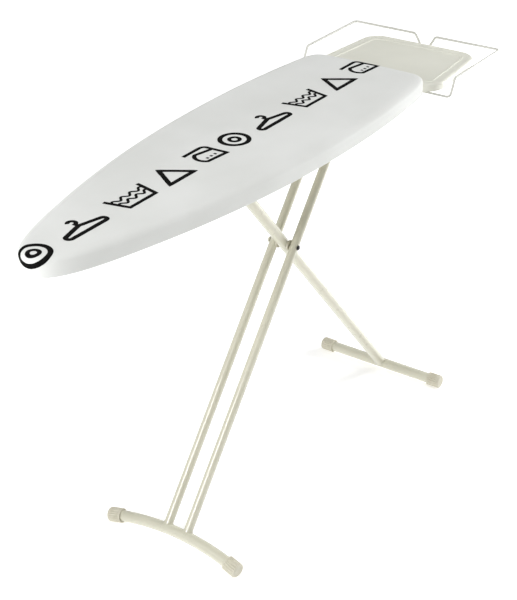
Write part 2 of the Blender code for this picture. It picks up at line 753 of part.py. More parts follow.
def make_rest_wire():
    """One wire bent into two wings, with a notch between them and its ends under the tray."""
    end_x = NOSE_X + REST_END
    half = [
        Vector((REST_LOW_X + 2 * WIRE_R + GAP, NOTCH_LOW_Y, REST_WIRE_LOW)),
        Vector((end_x, NOTCH_LOW_Y, REST_WIRE_LOW)),
        Vector((end_x, NOTCH_TOP_Y, REST_WIRE_TOP)),
        Vector((end_x, REST_HALF_Y, REST_WIRE_TOP)),
        Vector((REST_BEND_X, REST_HALF_Y, REST_WIRE_TOP)),
        Vector((REST_LOW_X, REST_HALF_Y, REST_WIRE_LOW)),
    ]
    mirrored = [Vector((point.x, -point.y, point.z)) for point in reversed(half)]
    half_radii = [0.004] + [0.010] * (len(half) - 2)
    path = rounded_path(half + mirrored, half_radii + half_radii[::-1])
    bent_tube("rest_wire", path, WIRE_R, CREAM_PAINT, resolution=2)


# ---------------------------------------------------------------- assembly

def make_board():
    outline = board_outline()
    make_cover(outline)
    make_pad(outline)
    make_mesh_top(outline)
    make_rim(outline)
    make_brace("brace_nose", BRACE_NOSE_X, outline)
    make_brace("brace_middle", BRACE_MID_X, outline)
    make_brace("brace_tail", TOP_HINGE.x, outline)
    for label, side in SIDES:
        make_rail("slide_rail_" + label, side)
        make_hinge_block("hinge_block_" + label, side)
    make_rack()


def make_front_leg():
    make_front_foot()
    for label, side in SIDES:
        make_front_tube("front_tube_" + label, side)
    make_crossbar()
    make_pivot()


def make_iron_rest():
    for label, side in SIDES:
        make_rest_arm("rest_arm_" + label, side)
    make_tray()
    make_screws()
    make_rest_wire()


make_board()
make_front_leg()
make_rear_leg()
make_slide()
make_lever()
make_lever_spring()
make_iron_rest()
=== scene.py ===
"""Looks of the folding ironing board: cloth cover with printed care signs, expanded steel top,
painted tubes with ribbed feet, moulded iron tray, materials, light and camera."""

import json
import math

import bmesh
import bpy
import numpy as np
from mathutils import Matrix, Vector, noise
from mathutils.bvhtree import BVHTree
from mathutils.geometry import convex_hull_2d

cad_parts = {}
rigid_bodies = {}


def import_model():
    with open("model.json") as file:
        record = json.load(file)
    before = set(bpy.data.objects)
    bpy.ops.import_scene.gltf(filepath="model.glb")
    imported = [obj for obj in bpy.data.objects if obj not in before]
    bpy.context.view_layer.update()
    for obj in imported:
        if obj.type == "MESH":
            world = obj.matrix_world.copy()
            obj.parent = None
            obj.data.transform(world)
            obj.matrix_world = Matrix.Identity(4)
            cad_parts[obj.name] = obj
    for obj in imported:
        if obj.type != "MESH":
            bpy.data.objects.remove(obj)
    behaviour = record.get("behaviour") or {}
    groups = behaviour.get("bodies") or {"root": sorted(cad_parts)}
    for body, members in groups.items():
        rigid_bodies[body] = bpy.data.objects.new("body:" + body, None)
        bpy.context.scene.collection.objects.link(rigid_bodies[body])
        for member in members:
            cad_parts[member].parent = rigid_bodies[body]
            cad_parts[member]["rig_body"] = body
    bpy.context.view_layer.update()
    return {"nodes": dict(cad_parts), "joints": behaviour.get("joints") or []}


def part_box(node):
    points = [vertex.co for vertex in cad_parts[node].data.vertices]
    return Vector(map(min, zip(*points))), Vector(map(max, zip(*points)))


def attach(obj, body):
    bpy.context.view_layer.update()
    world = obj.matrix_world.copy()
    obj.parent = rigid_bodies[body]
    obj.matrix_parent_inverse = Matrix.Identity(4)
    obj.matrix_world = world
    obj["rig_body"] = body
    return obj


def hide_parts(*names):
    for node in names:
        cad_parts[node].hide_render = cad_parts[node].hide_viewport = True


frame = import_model()
NODES = frame["nodes"]

Y_AXIS = Vector((0.0, 1.0, 0.0))
Z_AXIS = Vector((0.0, 0.0, 1.0))
SIDES = (("left", 1), ("right", -1))
ROUND_WIRES = ("rest_wire", "lever_spring")

# Joining of faces
SAME_POINT = 0.00002
THIN_FACE = 0.00001

# Cloth cover
CLOTH_T = 0.0009
ROLL_IN = 0.020           # the roll from the top to the side starts this far in
ROLL_DOWN = 0.012         # and ends this far down
ROLL_STEPS = 12
LOWER_R = 0.003           # roll from the side to the hem
LOWER_STEPS = 3
HEM_W = 0.026             # width drawn in under the board
HEM_STEPS = 8
HEM_TAPE_R = 0.0016       # rolled tape along the hem's inner edge
STITCH_PITCH = 0.0046
STITCH_LENGTH = 0.0032
STITCH_R = 0.00028
STITCH_SINK = 0.0001
GATHER_PITCH = 0.011
GATHER_DEPTH = 0.0022
GATHER_REACH = 6          # outline points on each side over which a turn is measured
HEM_SAG = 0.0004
OUTLINE_STEP = 0.0032
SMOOTH_STEPS = 24         # points between two corners of an outline when it is smoothed
SPINE_NOSE = 0.060        # the top's rings close on a line that starts this far from the nose
SPINE_TAIL = 0.150

# Felt pad
PAD_CLEAR = 0.0004
PAD_EDGE_T = 0.0008

# Printed signs
INK_T = 0.00012
INK_LIFT = 0.00020
SIGN_HALF = 0.033
STROKE_W = 0.0112
THIN_STROKE_W = 0.0060
STROKE_STEP = 0.0016
DOT_HALF = 0.0030         # half the length of the iron's dots
DOT_W = 0.0072
STROKE_SHARES = tuple(number / 6 - 0.5 for number in range(7))
STROKE_WANDER = 0.07      # how much a stroke's width changes along it
STROKE_NOISE = 110.0      # and how fast, in swells per metre
MITRE_LIMIT = 0.6         # sharper corners than this cosine are mitred no further

# Expanded steel sheet under the pad
CELL_X = 0.024
CELL_Y = 0.0125
STRAND_W = 0.0022
HOLE_X = CELL_X - 2.2 * STRAND_W
HOLE_Y = CELL_Y - 1.2 * STRAND_W
STRAND_TWIST = 0.0002
SHEET_MARGIN = 0.0030     # from the outline of the board to the edge of the sheet

# Ribbed feet
RIB_COUNT = 18
RIB_STEPS = 10            # points across each rib and its groove
RIB_DEPTH = 0.0020
GROOVE_POWER = 3          # how narrow the grooves are between the ribs
CAP_END_R = 0.006
CAP_END_STEPS = 6
CAP_CHAMFER = 0.0006
CAP_COLLAR_END = 0.0042   # distances from the mouth to where each part of a cap starts or ends
CAP_NECK_START = 0.0045
CAP_NECK_END = 0.0053
CAP_RIB_START = 0.0060
CAP_NECK = 0.0008         # depth of the neck between the collar and the ribs
CAP_BORE_DEPTH = 0.012
CAP_DISH_IN = 0.004
CAP_DISH = 0.0004         # depth of the dish in the cap's end
MOUTH_DEPTH = 0.0005      # points this near a cap's mouth belong to it

# Iron tray
TRAY_WALL = 0.0025
TRAY_FLOOR_DOWN = 0.0030  # from the top of the lip to the floor
TRAY_RIDGE_IN = 0.0285    # middle of the ridge round the floor, from the tray's edge
TRAY_RIDGE_H = 0.0024
TRAY_RIDGE_W = 0.0032     # half the ridge's width
TRAY_RIDGE_STEPS = 12
TRAY_LIP_R = 0.0075
TRAY_LIP_STEPS = 7
TRAY_FOOT = 0.0016        # height of the bead round the skirt's lower edge
TRAY_FOOT_OUT = 0.0004
TRAY_STEP = 0.0030
REST_WIRE_R = 0.0030      # the skirt stands just clear of this wire
TRAY_CLEAR = 0.0003
BOSS_TOP_R = 0.0050
BOSS_LOW_R = 0.0046
BOSS_BORE_R = 0.0022
BOSS_SINK = 0.0004        # how far a boss reaches into the tray's floor

# Weld beads
BEAD_R = 0.0015
BEAD_STEPS = 56
BEAD_RIPPLE = 0.22        # how much a bead's radius changes from ripple to ripple
BEAD_WANDER = 0.25        # and along it
BEAD_SINK = 0.0006        # the rear tube's bead lies this far inside the tube's outside
MIDDLE_BAND = 0.002       # points of the front foot this near y = 0 give its middle

# Studio
STUDIO_FRONT = (-0.64, -0.77, 0.0)
FRONT_STARTS = 0.1        # the world darkens from this share of facing the front
FRONT_FULL = 0.95         # to this one
WORLD_FILL = 0.38
WORLD_FRONT = 0.07
FLOOR_REACH = 14.0
NEAR_REACH = 0.6
FAR_REACH = 3.0
GLOW_NEAR = 0.39          # of the white floor, within NEAR_REACH of its middle
GLOW_FAR = 0.75           # and beyond FAR_REACH

# Camera
CAMERA_PLACE = (-2.46765, -1.7602, 2.2209)
CAMERA_ANGLES = (54.561, 28.855, -1.069)     # yaw, pitch and roll in degrees
CAMERA_LENS = 85.243
CAMERA_SHIFT = (-0.00988, -0.02949)
CAMERA_FILM = 36.0
CAMERA_REACH = 60.0


# ---------------------------------------------------------------- mesh helpers

def mesh_object(name, bm, body, material, smooth_angle=40.0):
    """Puts a finished bmesh in the scene as a piece that rides on a body."""
    bmesh.ops.recalc_face_normals(bm, faces=bm.faces)
    mesh = bpy.data.meshes.new(name)
    bm.to_mesh(mesh)
    bm.free()
    mesh.shade_smooth()
    mesh.set_sharp_from_angle(angle=math.radians(smooth_angle))
    mesh.materials.append(material)
    piece = bpy.data.objects.new(name, mesh)
    bpy.context.scene.collection.objects.link(piece)
    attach(piece, body)
    return piece


def bridge(bm, rings):
    """Faces between neighbouring closed rows of vertices."""
    for first, second in zip(rings, rings[1:]):
        for here in range(len(first)):
            after = (here + 1) % len(first)
            bm.faces.new((first[here], first[after], second[after], second[here]))


def bridge_points(bm, rings):
    """Faces between closed rows of points, joined where the rows meet themselves."""
    bridge(bm, [[bm.verts.new(point) for point in ring] for ring in rings])
    bmesh.ops.remove_doubles(bm, verts=bm.verts, dist=SAME_POINT)
    bmesh.ops.dissolve_degenerate(bm, edges=bm.edges, dist=THIN_FACE)


def solidify(piece, thickness, offset):
    modifier = piece.modifiers.new("thickness", "SOLIDIFY")
    modifier.thickness = thickness
    modifier.offset = offset
    modifier.use_even_offset = True
    return modifier


def tube_piece(name, points, radius, body, material, cyclic=False, radii=None):
    """Round wire or bead along a line of points."""
    curve = bpy.data.curves.new(name, "CURVE")
    curve.dimensions = "3D"
    curve.bevel_depth = radius
    curve.bevel_resolution = 3
    curve.use_fill_caps = not cyclic
    spline = curve.splines.new("POLY")
    spline.points.add(len(points) - 1)
    for number, (spline_point, point) in enumerate(zip(spline.points, points)):
        spline_point.co = (*point, 1.0)
        spline_point.radius = radii[number] if radii else 1.0
    spline.use_cyclic_u = cyclic
    curve.materials.append(material)
    piece = bpy.data.objects.new(name, curve)
    bpy.context.scene.collection.objects.link(piece)
    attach(piece, body)
    return piece


# ---------------------------------------------------------------- material helpers

def new_material(name, colour, roughness, metallic=0.0):
    material = bpy.data.materials.new(name)
    material.use_nodes = True
    shader = material.node_tree.nodes["Principled BSDF"]
    shader.inputs["Base Color"].default_value = (*colour, 1.0)
    shader.inputs["Roughness"].default_value = roughness
    shader.inputs["Metallic"].default_value = metallic
    return material


def shader_of(material):
    return material.node_tree.nodes["Principled BSDF"]


def add_node(material, kind, inputs=None, **settings):
    node = material.node_tree.nodes.new(kind)
    for key, value in (inputs or {}).items():
        node.inputs[key].default_value = value
    for key, value in settings.items():
        setattr(node, key, value)
    return node


def link(material, output, socket):
    material.node_tree.links.new(output, socket)


def object_space(material, stretch=(1.0, 1.0, 1.0)):
    """The piece's own coordinates in metres, stretched along its axes."""
    coordinates = add_node(material, "ShaderNodeTexCoord")
    mapping = add_node(material, "ShaderNodeMapping", {"Scale": stretch})
    link(material, coordinates.outputs["Object"], mapping.inputs["Vector"])
    return mapping.outputs["Vector"]


def noise_field(material, scale, detail=2.0, stretch=(1.0, 1.0, 1.0)):
    field = add_node(material, "ShaderNodeTexNoise", {"Scale": scale, "Detail": detail})
    link(material, object_space(material, stretch), field.inputs["Vector"])
    return field.outputs["Fac"]


def vary_colour(material, first, second, field):
    """Base colour that wanders between two colours with a field of about 0.3 to 0.7."""
    ramp = add_node(material, "ShaderNodeValToRGB")
    ramp.color_ramp.elements[0].position = 0.3
    ramp.color_ramp.elements[0].color = (*first, 1.0)
    ramp.color_ramp.elements[1].position = 0.7
    ramp.color_ramp.elements[1].color = (*second, 1.0)
    link(material, field, ramp.inputs["Fac"])
    link(material, ramp.outputs["Color"], shader_of(material).inputs["Base Color"])


def vary_roughness(material, low, high, field):
    spread = add_node(material, "ShaderNodeMapRange", {"From Min": 0.3, "From Max": 0.7})
    spread.inputs["To Min"].default_value = low
    spread.inputs["To Max"].default_value = high
    link(material, field, spread.inputs["Value"])
    link(material, spread.outputs["Result"], shader_of(material).inputs["Roughness"])


def add_bump(material, field, strength, distance):
    """Adds a bump on top of any that the material has."""
    bump = add_node(material, "ShaderNodeBump", {"Strength": strength, "Distance": distance})
    link(material, field, bump.inputs["Height"])
    normal = shader_of(material).inputs["Normal"]
    if normal.is_linked:
        link(material, normal.links[0].from_socket, bump.inputs["Normal"])
    link(material, bump.outputs["Normal"], normal)


def weave_field(material, pitch):
    """Plain weave: threads along X, Y and Z, of which two families show on any face."""
    total = None
    for axis in ("X", "Y", "Z"):
        threads = add_node(material, "ShaderNodeTexWave", wave_type="BANDS", bands_direction=axis)
        threads.inputs["Scale"].default_value = 0.31 / pitch
        threads.inputs["Distortion"].default_value = 0.6
        threads.inputs["Detail"].default_value = 1.0
        threads.inputs["Detail Scale"].default_value = 40.0
        link(material, object_space(material), threads.inputs["Vector"])
        if total is None:
            total = threads.outputs["Fac"]
            continue
        add = add_node(material, "ShaderNodeMath", operation="ADD")
        link(material, total, add.inputs[0])
        link(material, threads.outputs["Fac"], add.inputs[1])
        total = add.outputs["Value"]
    return total


# ---------------------------------------------------------------- materials

def make_cloth_material():
    material = new_material("cover_cloth", (0.74, 0.75, 0.73), 0.82)
    shader = shader_of(material)
    shader.inputs["Sheen Weight"].default_value = 0.25
    shader.inputs["Sheen Roughness"].default_value = 0.45
    shader.inputs["Specular IOR Level"].default_value = 0.25
    vary_colour(material, (0.705, 0.715, 0.690), (0.765, 0.775, 0.755), noise_field(material, 5.0))
    vary_roughness(material, 0.74, 0.90, noise_field(material, 60.0))
    add_bump(material, weave_field(material, 0.0006), 0.22, 0.00012)
    slubs = noise_field(material, 160.0, 3.0, (0.25, 1.0, 1.0))
    add_bump(material, slubs, 0.15, 0.0003)
    return material


def make_ink_material():
    material = new_material("print_ink", (0.005, 0.005, 0.005), 0.8)
    shader_of(material).inputs["Specular IOR Level"].default_value = 0.05
    vary_colour(material, (0.003, 0.003, 0.003), (0.009, 0.009, 0.008), noise_field(material, 90.0))
    vary_roughness(material, 0.75, 0.90, noise_field(material, 150.0))
    add_bump(material, weave_field(material, 0.0006), 0.35, 0.00012)
    return material


def make_thread_material():
    material = new_material("thread", (0.70, 0.70, 0.67), 0.7)
    add_bump(material, noise_field(material, 2500.0, 1.0, (1.0, 1.0, 0.3)), 0.5, 0.0002)
    return material


def make_felt_material():
    material = new_material("felt", (0.66, 0.64, 0.58), 0.96)
    shader_of(material).inputs["Sheen Weight"].default_value = 0.35
    vary_colour(material, (0.58, 0.56, 0.50), (0.72, 0.70, 0.64), noise_field(material, 220.0, 5.0))
    add_bump(material, noise_field(material, 900.0, 4.0), 0.7, 0.0006)
    add_bump(material, noise_field(material, 90.0, 2.0), 0.3, 0.001)
    return material


def make_paint_material():
    """Powder coat: fine orange peel, slight changes of gloss."""
    material = new_material("cream_paint", (0.665, 0.65, 0.525), 0.30)
    shader_of(material).inputs["Coat Weight"].default_value = 0.8
    shader_of(material).inputs["Coat Roughness"].default_value = 0.08
    colours = ((0.645, 0.63, 0.505), (0.69, 0.675, 0.55))
    vary_colour(material, *colours, noise_field(material, 14.0, 3.0))
    vary_roughness(material, 0.27, 0.31, noise_field(material, 40.0))
    add_bump(material, noise_field(material, 900.0, 2.0), 0.05, 0.0001)
    return material


def make_wire_material():
    """Thin plastic coat on the wire of the iron rest: paler and cooler than the paint."""
    material = new_material("wire_coat", (0.64, 0.64, 0.59), 0.45)
    vary_colour(material, (0.62, 0.62, 0.57), (0.66, 0.66, 0.61), noise_field(material, 20.0))
    vary_roughness(material, 0.40, 0.52, noise_field(material, 160.0))
    add_bump(material, noise_field(material, 600.0), 0.08, 0.0003)
    return material


def make_tray_material():
    """Moulded plastic with a fine spark-eroded grain."""
    material = new_material("tray_plastic", (0.79, 0.79, 0.70), 0.42)
    vary_colour(material, (0.77, 0.77, 0.68), (0.81, 0.81, 0.72), noise_field(material, 9.0))
    vary_roughness(material, 0.42, 0.58, noise_field(material, 240.0))
    add_bump(material, noise_field(material, 1500.0, 3.0), 0.25, 0.0002)
    return material


def make_cap_material():
    material = new_material("cap_plastic", (0.66, 0.63, 0.51), 0.52)
    vary_colour(material, (0.62, 0.59, 0.47), (0.69, 0.66, 0.55), noise_field(material, 60.0, 3.0))
    vary_roughness(material, 0.45, 0.62, noise_field(material, 300.0))
    add_bump(material, noise_field(material, 1800.0, 2.0), 0.2, 0.0002)
    return material


def make_black_steel_material():
    material = new_material("black_steel", (0.022, 0.022, 0.023), 0.35, 0.8)
    vary_colour(material, (0.016, 0.016, 0.017), (0.04, 0.04, 0.04), noise_field(material, 180.0))
    vary_roughness(material, 0.25, 0.5, noise_field(material, 400.0))
    return material


def make_zinc_material():
    """Zinc plate: bright, with a faint drawn grain and dull patches."""
    material = new_material("zinc_steel", (0.62, 0.63, 0.62), 0.3, 1.0)
    vary_colour(material, (0.55, 0.56, 0.56), (0.68, 0.68, 0.66), noise_field(material, 70.0, 3.0))
    vary_roughness(material, 0.22, 0.45, noise_field(material, 500.0, 2.0, (0.08, 1.0, 1.0)))
    add_bump(material, noise_field(material, 900.0, 2.0, (0.1, 1.0, 1.0)), 0.12, 0.0001)
    return material


MATERIALS = {
    "cover_cloth": make_cloth_material(),
    "felt": make_felt_material(),
    "cream_paint": make_paint_material(),
    "tray": make_tray_material(),
    "cap_plastic": make_cap_material(),
    "black_steel": make_black_steel_material(),
    "zinc_steel": make_zinc_material(),
}
NODE_MATERIALS = {"rest_wire": make_wire_material()}
INK = make_ink_material()
THREAD = make_thread_material()


def finish_cad_nodes():
    """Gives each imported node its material, and smooth faces between its real edges."""
    for node in NODES.values():
        slot_name = node.data.materials[0].name
        node.data.materials[0] = NODE_MATERIALS.get(node.name, MATERIALS[slot_name])
        custom = node.data.attributes.get("custom_normal")
        if custom:
            node.data.attributes.remove(custom)
        node.data.shade_smooth()
        weld = node.modifiers.new("weld", "WELD")
        weld.merge_threshold = SAME_POINT
        split = node.modifiers.new("edges", "EDGE_SPLIT")
        split.split_angle = math.radians(60.0 if node.name in ROUND_WIRES else 35.0)


# ---------------------------------------------------------------- board outline

def hull_of(node_name):
    """A node's outline seen from above, anticlockwise, as corner points."""
    points = [(v.co.x, v.co.y) for v in NODES[node_name].data.vertices]
    return np.array([points[index] for index in convex_hull_2d(points)])


def smooth_line(loop, count, step):
    """The first points of a closed loop joined by a smooth line, and that line evenly divided."""
    ahead = np.roll(loop, -1, axis=0)
    chords = np.linalg.norm(ahead - loop, axis=1)
    slopes = (ahead - np.roll(loop, 1, axis=0)) / (chords + np.roll(chords, 1))[:, None]
    fine = []
    for index in range(count - 1):
        after = (index + 1) % len(loop)
        for share in np.linspace(0.0, 1.0, SMOOTH_STEPS, endpoint=False):
            square, cube = share**2, share**3
            fine.append(
                loop[index] * (2 * cube - 3 * square + 1)
                + slopes[index] * chords[index] * (cube - 2 * square + share)
                + loop[after] * (3 * square - 2 * cube)
                + slopes[after] * chords[index] * (cube - square)
            )
    fine.append(loop[(count - 1) % len(loop)])
    fine = np.array(fine)
    length = np.concatenate(([0.0], np.cumsum(np.linalg.norm(np.diff(fine, axis=0), axis=1))))
    even = np.linspace(0.0, length[-1], round(length[-1] / step) + 1)
    return np.column_stack([np.interp(even, length, fine[:, axis]) for axis in (0, 1)])


def outward_of(loop):
    """Direction out of an anticlockwise loop at each of its points."""
    along = np.roll(loop, -1, axis=0) - np.roll(loop, 1, axis=0)
    along /= np.linalg.norm(along, axis=1)[:, None]
    return np.column_stack((along[:, 1], -along[:, 0]))


def board_outline():
    """The cover's outline, the same on both sides so that its rows of faces meet along the
    middle, anticlockwise from the nose."""
    hull = hull_of("cover")
    hull = np.roll(hull, -int(np.argmin(hull[:, 0])), axis=0)
    near = hull[: int(np.argmin(np.abs(hull[2:-2, 1]))) + 3]
    loop = np.vstack((near, near[1:-1][::-1] * (1.0, -1.0)))
    half = smooth_line(loop, len(near), OUTLINE_STEP)
    half[0, 1] = half[-1, 1] = 0.0
    return np.vstack((half, half[1:-1][::-1] * (1.0, -1.0)))


OUTLINE = board_outline()
OUTWARD = outward_of(OUTLINE)
COVER_LOW, COVER_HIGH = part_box("cover")
TOP_Z = COVER_HIGH.z
HEM_Z = COVER_LOW.z


# ---------------------------------------------------------------- cover

def softness(x, y):
    """Slow hollows and swells of the cloth over its felt, in metres."""
    slow = noise.noise(Vector((x * 5.0, y * 9.0, 0.3)))
    quick = noise.noise(Vector((x * 17.0, y * 26.0, 4.1)))
    return -0.0006 + 0.0007 * slow + 0.00022 * quick


def gathering(index):
    """How tightly the hem is gathered here: most where the outline turns."""
    before = OUTWARD[index - GATHER_REACH]
    after = OUTWARD[(index + GATHER_REACH) % len(OUTWARD)]
    turn = math.acos(max(-1.0, min(1.0, float(before @ after))))
    return 0.25 + min(1.0, turn / 0.25) * 0.75


def roll_section():
    """The roll of the cover's edge as (distance in from the outline, depth), top to side."""
    section = []
    for step in range(ROLL_STEPS + 1):
        angle = math.pi / 2 * step / ROLL_STEPS
        section.append((ROLL_IN * (1.0 - math.sin(angle)), ROLL_DOWN * (1.0 - math.cos(angle))))
    return section


def edge_profile():
    """The cover's section as (distance in from the outline, height, share of the hem)."""
    profile = [(inward, TOP_Z - depth, 0.0) for inward, depth in roll_section()]
    wall_top = TOP_Z - ROLL_DOWN
    wall_low = HEM_Z + LOWER_R
    for share in (0.25, 0.5, 0.75):
        profile.append((0.0, wall_top + (wall_low - wall_top) * share, 0.0))
    for step in range(LOWER_STEPS + 1):
        angle = math.pi / 2 * step / LOWER_STEPS
        z = HEM_Z + LOWER_R * (1.0 - math.sin(angle))
        profile.append((LOWER_R * (1.0 - math.cos(angle)), z, 0.0))
    for step in range(1, HEM_STEPS + 1):
        share = step / HEM_STEPS
        profile.append((LOWER_R + (HEM_W - LOWER_R) * share, HEM_Z, share))
    return profile


def cover_ring(inward, z, hem_share):
    """One closed row of points round the board."""
    ring = []
    travelled = 0.0
    for index, (point, out) in enumerate(zip(OUTLINE, OUTWARD)):
        place = point - out * inward
        height = z
        if hem_share > 0.0:
            phase = travelled / GATHER_PITCH + noise.noise(Vector((*point * 9.0, 1.7))) * 1.5
            wave = math.sin(2 * math.pi * phase)
            swell = 0.7 + 0.6 * noise.noise(Vector((*point * 31.0, 5.2)))
            height += GATHER_DEPTH * wave * swell * hem_share**1.5 * gathering(index)
            height -= HEM_SAG * hem_share
        ring.append(Vector((place[0], place[1], height)))
        travelled += OUTLINE_STEP
    return ring


def top_rings(lift=0.0, flat=False, count=16):
    """Rows of points from the spine of the board out to where its edge starts to roll."""
    nose_x = OUTLINE[:, 0].min() + SPINE_NOSE
    tail_x = OUTLINE[:, 0].max() - SPINE_TAIL
    rings = []
    for share in np.linspace(0.0, 1.0, count, endpoint=False):
        ring = []
        for point, out in zip(OUTLINE, OUTWARD):
            edge = point - out * ROLL_IN
            spine = np.array((min(max(edge[0], nose_x), tail_x), 0.0))
            x, y = spine + (edge - spine) * share
            swell = 0.0 if flat else softness(x, y) * (1.0 - share**6)
            ring.append(Vector((x, y, TOP_Z + lift + swell)))
        rings.append(ring)
    return rings


def make_cover():
    """The cover as a sheet of cloth, and its outer surface for the print to lie on."""
    bm = bmesh.new()
    rings = top_rings() + [cover_ring(*step) for step in edge_profile()]
    bridge_points(bm, rings)
    piece = mesh_object("cloth_cover", bm, "board", MATERIALS["cover_cloth"])
    surface = BVHTree.FromObject(piece, bpy.context.evaluated_depsgraph_get())
    solidify(piece, CLOTH_T, -1.0)
    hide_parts("cover")
    return piece, surface


def outline_ring(inward, z):
    """The board's outline drawn in by a distance, at height z."""
    return [Vector((*(point - out * inward), z)) for point, out in zip(OUTLINE, OUTWARD)]


def make_pad():
    """Felt under the cover: it follows the cloth above, thins out at the edge and is flat
    where it lies on the steel."""
    pad_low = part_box("pad")[0].z
    beneath = CLOTH_T + PAD_CLEAR
    rings = top_rings(-beneath)
    edge_in = ROLL_IN
    for step, (inward, depth) in enumerate(roll_section()):
        angle = math.pi / 2 * step / ROLL_STEPS
        inner = Vector((ROLL_DOWN * math.sin(angle), ROLL_IN * math.cos(angle))).normalized()
        z = TOP_Z - depth - beneath * inner.y
        if z < pad_low + PAD_EDGE_T:
            break
        edge_in = inward + beneath * inner.x
        rings.append(outline_ring(edge_in, z))
    rings.append(outline_ring(edge_in, pad_low))
    rings += top_rings(pad_low - TOP_Z, flat=True, count=4)[::-1]
    bm = bmesh.new()
    bridge_points(bm, rings)
    piece = mesh_object("felt_pad", bm, "board", MATERIALS["felt"], 50.0)
    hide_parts("pad")


def make_hem_tape():
    """Rolled tape that the hem ends in."""
    ring = cover_ring(*edge_profile()[-1])
    lift = Vector((0.0, 0.0, HEM_TAPE_R * 0.5))
    points = [point + lift for point in ring]
    cloth = MATERIALS["cover_cloth"]
    return tube_piece("hem_tape", points, HEM_TAPE_R, "board", cloth, cyclic=True)


def add_stitch(bm, start, along):
    """One stitch: a short six-sided thread that thins out where it enters the cloth."""
    across = along.cross(Z_AXIS).normalized()
    rings = []
    for share, swell in ((0.0, 0.35), (0.2, 1.0), (0.8, 1.0), (1.0, 0.35)):
        centre = start + along * STITCH_LENGTH * share
        centre += Z_AXIS * (STITCH_SINK - STITCH_R * swell)
        row = []
        for step in range(6):
            angle = 2 * math.pi * step / 6
            offset = across * math.cos(angle) + Z_AXIS * math.sin(angle)
            row.append(bm.verts.new(centre + offset * STITCH_R * swell))
        rings.append(row)
    bridge(bm, rings)
    bm.faces.new(rings[0])
    bm.faces.new(rings[-1])


def make_hem_stitches():
    """A row of lock stitches under the hem, just outside its tape."""
    ring = cover_ring(*edge_profile()[-3])
    every = STITCH_PITCH / OUTLINE_STEP
    bm = bmesh.new()
    for number in range(int(len(ring) / every)):
        index = int(number * every)
        start = ring[index]
        ahead = ring[(index + 1) % len(ring)]
        add_stitch(bm, start, (ahead - start).normalized())
    return mesh_object("hem_stitches", bm, "board", THREAD, 80.0)


# ---------------------------------------------------------------- printed signs

def nearest_edge(x, y):
    """The nearest point of the board's outline, and the direction out of the board there."""
    place = np.array((x, y))
    index = int(np.argmin(((OUTLINE - place) ** 2).sum(axis=1)))
    best = None
    for first in (index - 1, index):
        second = (first + 1) % len(OUTLINE)
        run = OUTLINE[second] - OUTLINE[first]
        share = min(1.0, max(0.0, float((place - OUTLINE[first]) @ run / (run @ run))))
        point = OUTLINE[first] + run * share
        gap = float(np.linalg.norm(place - point))
        if best is None or gap < best[0]:
            out = OUTWARD[first] * (1.0 - share) + OUTWARD[second] * share
            best = (gap, point, out / np.linalg.norm(out))
    return best[1], best[2]


def ink_point(surface, x, y):
    """A point of the print, laid flat from above and wrapped down over the cover's edge."""
    edge, out = nearest_edge(x, y)
    inward = float((edge - (x, y)) @ out)
    place = Vector((x, y, TOP_Z))
    if inward < ROLL_IN:
        section = np.array(roll_section() + [(0.0, TOP_Z - HEM_Z - LOWER_R)])
        runs = np.linalg.norm(np.diff(section, axis=0), axis=1)
        travelled = np.concatenate(([0.0], np.cumsum(runs)))
        over = ROLL_IN - inward
        rolled_in = np.interp(over, travelled, section[:, 0])
        down = np.interp(over, travelled, section[:, 1])
        base = edge - out * rolled_in
        place = Vector((base[0], base[1], TOP_Z - down))
    return surface.find_nearest(place)[:2]


def fine_line(corners, closed=False, step=0.004):
    """Points every few millimetres along straight runs between corners."""
    corners = [np.array(corner, float) for corner in corners]
    runs = list(zip(corners, corners[1:]))
    if closed:
        runs.append((corners[-1], corners[0]))
    line = []
    for start, end in runs:
        count = max(1, round(float(np.linalg.norm(end - start)) / step))
        line += [start + (end - start) * share / count for share in range(count)]
    if not closed:
        line.append(corners[-1])
    return line


def stroke_sides(line, closed):
    """At each point of a line, the direction across it and how far a corner's mitre reaches."""
    if closed:
        ahead, behind = np.roll(line, -1, axis=0), np.roll(line, 1, axis=0)
    else:
        ahead = np.vstack((line[1:], 2 * line[-1] - line[-2]))
        behind = np.vstack((2 * line[0] - line[1], line[:-1]))
    first = (line - behind) / np.linalg.norm(line - behind, axis=1)[:, None]
    second = (ahead - line) / np.linalg.norm(ahead - line, axis=1)[:, None]
    middle = first + second
    middle /= np.linalg.norm(middle, axis=1)[:, None]
    across = np.column_stack((-middle[:, 1], middle[:, 0]))
    return across, 1.0 / np.maximum((middle * first).sum(axis=1), MITRE_LIMIT)


def lay_stroke(bm, surface, line, width, closed=False):
    """A ribbon of ink along a line of points, a few faces wide, on the cloth."""
    apart = [after for before, after in zip(line, line[1:]) if math.dist(before, after) > 1e-5]
    line = np.array(fine_line([line[0]] + apart, closed, STROKE_STEP))
    rows = []
    for point, side, reach in zip(line, *stroke_sides(line, closed)):
        wander = noise.noise(Vector((*point * STROKE_NOISE, 2.3)))
        brush = width * (1.0 + STROKE_WANDER * wander)
        row = []
        for share in STROKE_SHARES:
            hit, normal = ink_point(surface, *(point + side * reach * brush * share))
            row.append(bm.verts.new(hit + normal * INK_LIFT))
        rows.append(row)
    if closed:
        rows.append(rows[0])
    for row, following in zip(rows, rows[1:]):
        for column in range(len(STROKE_SHARES) - 1):
            corners = (row[column], row[column + 1], following[column + 1], following[column])
            bm.faces.new(corners)


def arc_line(centre, radius, start, end, steps=28):
    """Points on an arc, by angles in degrees."""
    line = []
    for step in range(steps + 1):
        angle = math.radians(start + (end - start) * step / steps)
        line.append((centre[0] + radius * math.cos(angle), centre[1] + radius * math.sin(angle)))
    return line


